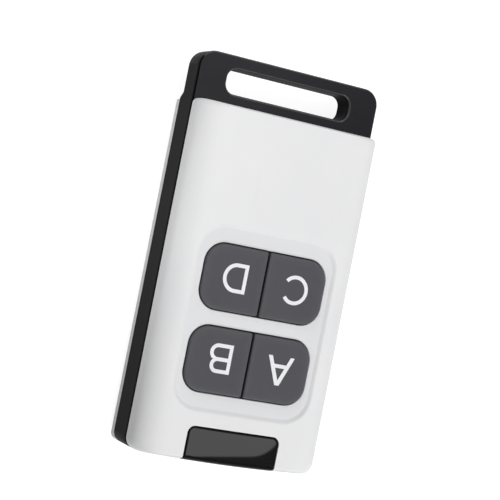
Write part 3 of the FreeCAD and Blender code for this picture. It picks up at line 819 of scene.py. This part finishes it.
marks = {"a": letter_a(), "b": letter_b(), "c": letter_c(), "d": letter_d()}
for letter, (x, y) in mark_places.items():
    outline = bpy.data.curves.new("mark", "CURVE")
    outline.dimensions = "2D"
    outline.fill_mode = "BOTH"
    outline.extrude = ink_height / 2
    for points in marks[letter]:
        spline = outline.splines.new("POLY")
        spline.points.add(len(points) - 1)
        for point, (u, v) in zip(spline.points, points):
            point.co = (x + u, y + v, 0.0, 1.0)
        spline.use_cyclic_u = True
    drawn = bpy.data.objects.new("mark", outline)
    bpy.context.scene.collection.objects.link(drawn)
    bpy.context.view_layer.update()
    shape = bpy.data.meshes.new_from_object(drawn.evaluated_get(bpy.context.evaluated_depsgraph_get()))
    bpy.data.objects.remove(drawn)
    shape.transform(Matrix.Translation((0.0, 0.0, key_top + ink_height / 2 - ink_sink)))
    mark = bpy.data.objects.new("key_mark_" + letter, shape)
    bpy.context.scene.collection.objects.link(mark)
    settle(mark, "key_" + letter, "key_plastic", white_ink)


# Screws. Eight cross-headed screws, rolled and zinc plated: four long ones through the shells,
# and four short ones that hold the circuit board on the frame's ledge.

# Turning and plating leave fine lines in one direction over a slow, slightly clouded sheen.
line_stretch = (1.0, 0.04, 1.0)
tone_from_lines = 0.4
sheen_range = (0.35, 0.65)
plating_cloud = 260.0
plated_lines, given, made = new_group("plated lines", [("Lines", 5000.0), ("Cloud", 300.0)],
                                      ["Height", "Tone"])
lines = noise(plated_lines, given.outputs["Lines"], detail=3.0, stretch=line_stretch)
haze = noise(plated_lines, given.outputs["Cloud"], detail=3.0)
plated_lines.links.new(lines, made.inputs["Height"])
sheen = combine(plated_lines, "ADD", combine(plated_lines, "MULTIPLY", lines, tone_from_lines),
                combine(plated_lines, "MULTIPLY", haze, 1 - tone_from_lines))
plated_lines.links.new(span(plated_lines, sheen, *sheen_range, 0.0, 1.0), made.inputs["Tone"])


def plated(name, dull, bright, smooth, rough, lines):
    """A plated metal finish: lines and cloud in its colour, roughness and relief."""
    material, tree, shader = new_material(name)
    skin = placed(tree, plated_lines, Lines=lines, Cloud=plating_cloud)
    toned(tree, shader, skin.outputs["Tone"], dull, bright)
    tree.links.new(span(tree, skin.outputs["Tone"], 0.0, 1.0, rough, smooth), shader.inputs["Roughness"])
    shader.inputs["Metallic"].default_value = 1.0
    bumped(tree, shader, skin.outputs["Height"], strength=0.2, depth=0.006)
    return material


zinc = plated("zinc plated steel", dull=(0.42, 0.42, 0.41), bright=(0.60, 0.60, 0.58),
              smooth=0.28, rough=0.45, lines=6000.0)
dress(zinc, "cover_screws", "board_screws")


# Circuit board and radio module. Glass laminate under a green solder mask, with the copper
# tracks showing through as slightly raised, lighter lines.

board_print, given, made = new_group("board print", [("Pitch", 900.0)], ["Track", "Weave"])
place = board_print.nodes.new("ShaderNodeTexCoord")
tracks = board_print.nodes.new("ShaderNodeTexBrick")
tracks.inputs["Mortar Size"].default_value = 0.09
tracks.inputs["Mortar Smooth"].default_value = 0.2
tracks.inputs["Brick Width"].default_value = 1.7
tracks.inputs["Row Height"].default_value = 0.42
board_print.links.new(given.outputs["Pitch"], tracks.inputs["Scale"])
board_print.links.new(place.outputs["Object"], tracks.inputs["Vector"])
board_print.links.new(tracks.outputs["Fac"], made.inputs["Track"])
threads_per_metre = 5200.0
weave_stretch = (1.0, 0.25, 1.0)
weave = noise(board_print, threads_per_metre, detail=1.0, stretch=weave_stretch)
board_print.links.new(weave, made.inputs["Weave"])
weave_share = 0.3
mask_shade = 0.8
mask_gloss = (0.22, 0.36)


def laminate(name, mask, track, pitch):
    """A solder mask's green, with its tracks and the weave of the glass under it."""
    material, tree, shader = new_material(name)
    printed = placed(tree, board_print, Pitch=pitch)
    skin = placed(tree, mould_grain, Grain=5000.0, Cloud=200.0)
    tone = blend_colours(tree, skin.outputs["Tone"], tuple(mask_shade * part for part in mask), mask)
    toned(tree, shader, printed.outputs["Track"], tone, track)
    roughness = span(tree, skin.outputs["Gloss"], noise_low, noise_high, *mask_gloss)
    tree.links.new(roughness, shader.inputs["Roughness"])
    height = combine(tree, "ADD", printed.outputs["Track"],
                     combine(tree, "MULTIPLY", printed.outputs["Weave"], weave_share))
    bumped(tree, shader, height, strength=0.35, depth=0.03)
    return material


board_green = laminate("green solder mask", mask=(0.012, 0.11, 0.045), track=(0.03, 0.21, 0.09),
                       pitch=620.0)
module_green = laminate("dark green solder mask", mask=(0.01, 0.07, 0.04), track=(0.04, 0.16, 0.09),
                        pitch=1100.0)
dress(board_green, "circuit_board")
dress(module_green, "radio_module")


# Power. A 20 mm lithium coin cell in a nickel plated can, in a black nylon tray, between a strip
# in the tray's floor and a bent spring strip over the can.

nickel_can = plated("nickel plated can", dull=(0.55, 0.54, 0.52), bright=(0.70, 0.69, 0.66),
                    smooth=0.18, rough=0.34, lines=3200.0)
nickel_strip = plated("nickel strip", dull=(0.58, 0.55, 0.48), bright=(0.72, 0.69, 0.62),
                      smooth=0.22, rough=0.38, lines=7000.0)
dress(nickel_can, "coin_cell")
dress(nickel_strip, "contact_negative", "contact_positive")

black_nylon, tree, shader, skin = moulded("black moulded nylon", grain=4200.0, cloud=180.0, gloss=(0.42, 0.6),
                                          strength=0.3, depth=0.02)
toned(tree, shader, skin["Tone"], dark=(0.018, 0.018, 0.019), light=(0.030, 0.030, 0.031))
dress(black_nylon, "battery_holder")


# Switches. A black nylon housing, a sprung stainless dome that snaps under the finger, and a
# natural nylon plunger that the key's post rests on.

dome_thickness = 0.1
dome_dimple = 0.03
dimple_reach = 0.5
dimple_slope = 0.3
dome_steps = 13
dome_points = 36
dress(black_nylon, *["switch_housing_" + letter for letter in keys])
spring_steel = plated("stainless spring steel", dull=(0.50, 0.50, 0.49), bright=(0.66, 0.66, 0.65),
                      smooth=0.16, rough=0.3, lines=4000.0)


def dome_ring(middle, radius, level):
    """One round of a dome's points."""
    turns = [math.tau * step / dome_points for step in range(dome_points)]
    return [(middle[0] + radius * math.cos(t), middle[1] + radius * math.sin(t), level) for t in turns]


for letter in keys:
    low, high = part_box("switch_dome_" + letter)
    floor_level, rise = low[2] / MM, (high[2] - low[2]) / MM - dome_thickness
    reach = (high[0] - low[0]) / MM / 2
    middle = ((low[0] + high[0]) / MM / 2, (low[1] + high[1]) / MM / 2)
    top, under = [], []
    for step in range(dome_steps):
        radius = reach * (1 - step / dome_steps)
        dimple = dome_dimple * min(max((dimple_reach - radius) / dimple_slope, 0.0), 1.0)
        level = floor_level + rise * (1 - (radius / reach) ** 2) - dimple
        top.append(dome_ring(middle, radius, level + dome_thickness))
        under.insert(0, dome_ring(middle, radius, level))
    mesh = bmesh.new()
    loops = add_rings(mesh, under + top)
    fill_flat(mesh, loops[0])
    fill_flat(mesh, loops[-1])
    dome = made_piece("dome_" + letter, mesh)
    settle(dome, "case", "spring_steel", spring_steel, "switch_dome_" + letter)
    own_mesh(dome)

natural_nylon, tree, shader, skin = moulded("natural nylon", grain=4800.0, cloud=500.0, gloss=(0.35, 0.5),
                                            strength=0.2, depth=0.015)
toned(tree, shader, skin["Tone"], dark=(0.62, 0.59, 0.52), light=(0.72, 0.70, 0.63))
shader.inputs["Subsurface Weight"].default_value = 0.1
shader.inputs["Subsurface Scale"].default_value = 0.5 * MM
dress(natural_nylon, *["switch_plunger_" + letter for letter in keys])


# Chips. Tinned cans over the radio and the crystal, a chip in black moulding resin, and rows of
# small ceramic capacitors and resistors with tinned ends.

tinned_steel = plated("tinned steel", dull=(0.52, 0.53, 0.53), bright=(0.68, 0.69, 0.70),
                      smooth=0.24, rough=0.42, lines=5200.0)
dress(tinned_steel, "radio_shield", "crystal")
speck_range = (0.45, 0.62)


def speckled(name, dark, light, gloss, grain):
    """A moulded or fired body with a fine speckle."""
    material, tree, shader, skin = moulded(name, grain, cloud=900.0, gloss=gloss, strength=0.3, depth=0.01)
    toned(tree, shader, span(tree, skin["Height"], *speck_range, 0.0, 1.0), dark, light)
    return material


black_resin = speckled("black moulding resin", dark=(0.014, 0.014, 0.015), light=(0.035, 0.035, 0.036),
                       gloss=(0.4, 0.6), grain=9000.0)
tan_ceramic = speckled("tan ceramic", dark=(0.38, 0.27, 0.16), light=(0.50, 0.38, 0.25),
                       gloss=(0.35, 0.5), grain=8000.0)
dark_ceramic = speckled("dark ceramic", dark=(0.025, 0.025, 0.028), light=(0.06, 0.06, 0.065),
                        gloss=(0.3, 0.45), grain=8000.0)
lamp_resin = speckled("lamp resin", dark=(0.74, 0.72, 0.58), light=(0.86, 0.85, 0.74),
                      gloss=(0.12, 0.25), grain=7000.0)
in_a_row = range(1, 5)
dress(black_resin, "microcontroller")
dress(tan_ceramic, *["chip_capacitor_%d" % index for index in in_a_row])
dress(dark_ceramic, *["chip_resistor_%d" % index for index in in_a_row])
dress(lamp_resin, "status_led_1", "status_led_2")


# Light guide. A small block of clear acrylic with polished faces, bonded under the window, that
# brings up the light of the two lamps.

clear_acrylic, tree, shader, skin = moulded("clear acrylic", grain=3000.0, cloud=250.0, gloss=(0.03, 0.12),
                                            strength=0.05, depth=0.005)
toned(tree, shader, skin["Tone"], dark=(0.90, 0.93, 0.94), light=(0.96, 0.98, 0.98))
shader.inputs["Transmission Weight"].default_value = 1.0
shader.inputs["IOR"].default_value = 1.49
dress(clear_acrylic, "light_guide")


# Studio. A white paper floor, one flat lit panel and five soft boxes, and the camera at the
# photographed angle. Sizes here are in metres.

floor_half = 3.0
paper_level = -0.00003
floor_grey = (0.35, 0.35, 0.35)
floor_glow = 0.88
world_grey = (0.10, 0.10, 0.103)

floor_shape = bpy.data.meshes.new("floor")
floor_shape.from_pydata([(x * floor_half, y * floor_half, paper_level)
                         for x, y in ((-1, -1), (1, -1), (1, 1), (-1, 1))], [], [(0, 1, 2, 3)])
floor = bpy.data.objects.new("floor", floor_shape)
bpy.context.scene.collection.objects.link(floor)


def lit_material(name):
    """An empty material that ends in a glow, and its node tree."""
    material = bpy.data.materials.new(name)
    material.use_nodes = True
    tree = material.node_tree
    tree.nodes.clear()
    return material, tree, tree.nodes.new("ShaderNodeEmission"), tree.nodes.new("ShaderNodeOutputMaterial")


floor_paper, tree, glow, output = lit_material("white paper floor")
rays = tree.nodes.new("ShaderNodeLightPath")
seen = combine(tree, "MAXIMUM", rays.outputs["Is Camera Ray"],
               combine(tree, "MAXIMUM", rays.outputs["Is Glossy Ray"], rays.outputs["Is Transmission Ray"]))
paper = tree.nodes.new("ShaderNodeBsdfDiffuse")
feed(tree, floor_grey, paper.inputs["Color"])
tree.links.new(combine(tree, "MULTIPLY", seen, floor_glow), glow.inputs["Strength"])
both = tree.nodes.new("ShaderNodeAddShader")
tree.links.new(paper.outputs["BSDF"], both.inputs[0])
tree.links.new(glow.outputs["Emission"], both.inputs[1])
tree.links.new(both.outputs["Shader"], output.inputs["Surface"])
floor_shape.materials.append(floor_paper)

world = bpy.data.worlds.new("studio")
bpy.context.scene.world = world
world.use_nodes = True
world.node_tree.nodes["Background"].inputs["Color"].default_value = (*world_grey, 1.0)
world.node_tree.nodes["Background"].inputs["Strength"].default_value = 1.0

# The key light is a flat panel with round corners; its edge shows as a line across the window.
panel_x = (-0.020, 0.400)
panel_y = (-0.460, 0.020)
panel_corner = 0.020
panel_place = (-0.2885, 0.0912, 0.600)
panel_turn = 7.1
panel_strength = 1.77

panel_shape = bpy.data.meshes.new("key_panel")
panel_plan = round_loop(*panel_x, *panel_y, [panel_corner] * 4, across=1, along=1)
panel_shape.from_pydata(at_level(panel_plan, 0.0), [], [tuple(range(len(panel_plan)))])
panel = bpy.data.objects.new("key_panel", panel_shape)
bpy.context.scene.collection.objects.link(panel)
panel.location = panel_place
panel.rotation_euler = (0.0, 0.0, math.radians(panel_turn))
panel_light, tree, glow, output = lit_material("lit panel")
glow.inputs["Strength"].default_value = panel_strength
tree.links.new(glow.outputs["Emission"], output.inputs["Surface"])
panel_shape.materials.append(panel_light)


def soft_box(name, place, width, length, watts, aim=(0.0, 0.0, 0.01)):
    """A soft box at a place, turned to what it is aimed at."""
    lamp = bpy.data.lights.new(name, "AREA")
    lamp.shape = "RECTANGLE"
    lamp.size, lamp.size_y = width, length
    lamp.energy = watts
    box = bpy.data.objects.new(name, lamp)
    bpy.context.scene.collection.objects.link(box)
    box.location = place
    box.rotation_euler = (Vector(aim) - Vector(place)).to_track_quat("-Z", "Y").to_euler()


soft_box("main_box", place=(-0.20, -0.42, 0.62), width=0.40, length=0.40, watts=2.71)
soft_box("side_box", place=(-0.55, 0.0, 0.40), width=0.40, length=0.40, watts=0.63)
soft_box("end_box", place=(-0.10, 0.62, 0.42), width=0.40, length=0.40, watts=3.53)
soft_box("near_box", place=(0.075, -0.085, 0.040), width=0.04, length=0.03, watts=0.0208,
         aim=(0.017, -0.030, 0.011))
soft_box("low_box", place=(0.055, -0.005, 0.020), width=0.02, length=0.02, watts=0.0046,
         aim=(0.018, -0.005, 0.011))

camera_place = (0.12071, -0.00061, 0.26899)
camera_right = (-0.89105, -0.19422, 0.41026)
camera_up = (0.17945, -0.98093, -0.07464)
camera_back = (0.41693, 0.00711, 0.90891)
camera_data = bpy.data.cameras.new("camera")
camera_data.lens = 115.2
camera_data.sensor_width = 36.0
camera_data.sensor_fit = "HORIZONTAL"
camera_data.clip_start = 0.01
camera = bpy.data.objects.new("camera", camera_data)
bpy.context.scene.collection.objects.link(camera)
view = Matrix((camera_right, camera_up, camera_back)).transposed().to_4x4()
view.translation = Vector(camera_place)
camera.matrix_world = view
bpy.context.scene.camera = camera

bpy.context.scene.view_settings.view_transform = "Standard"
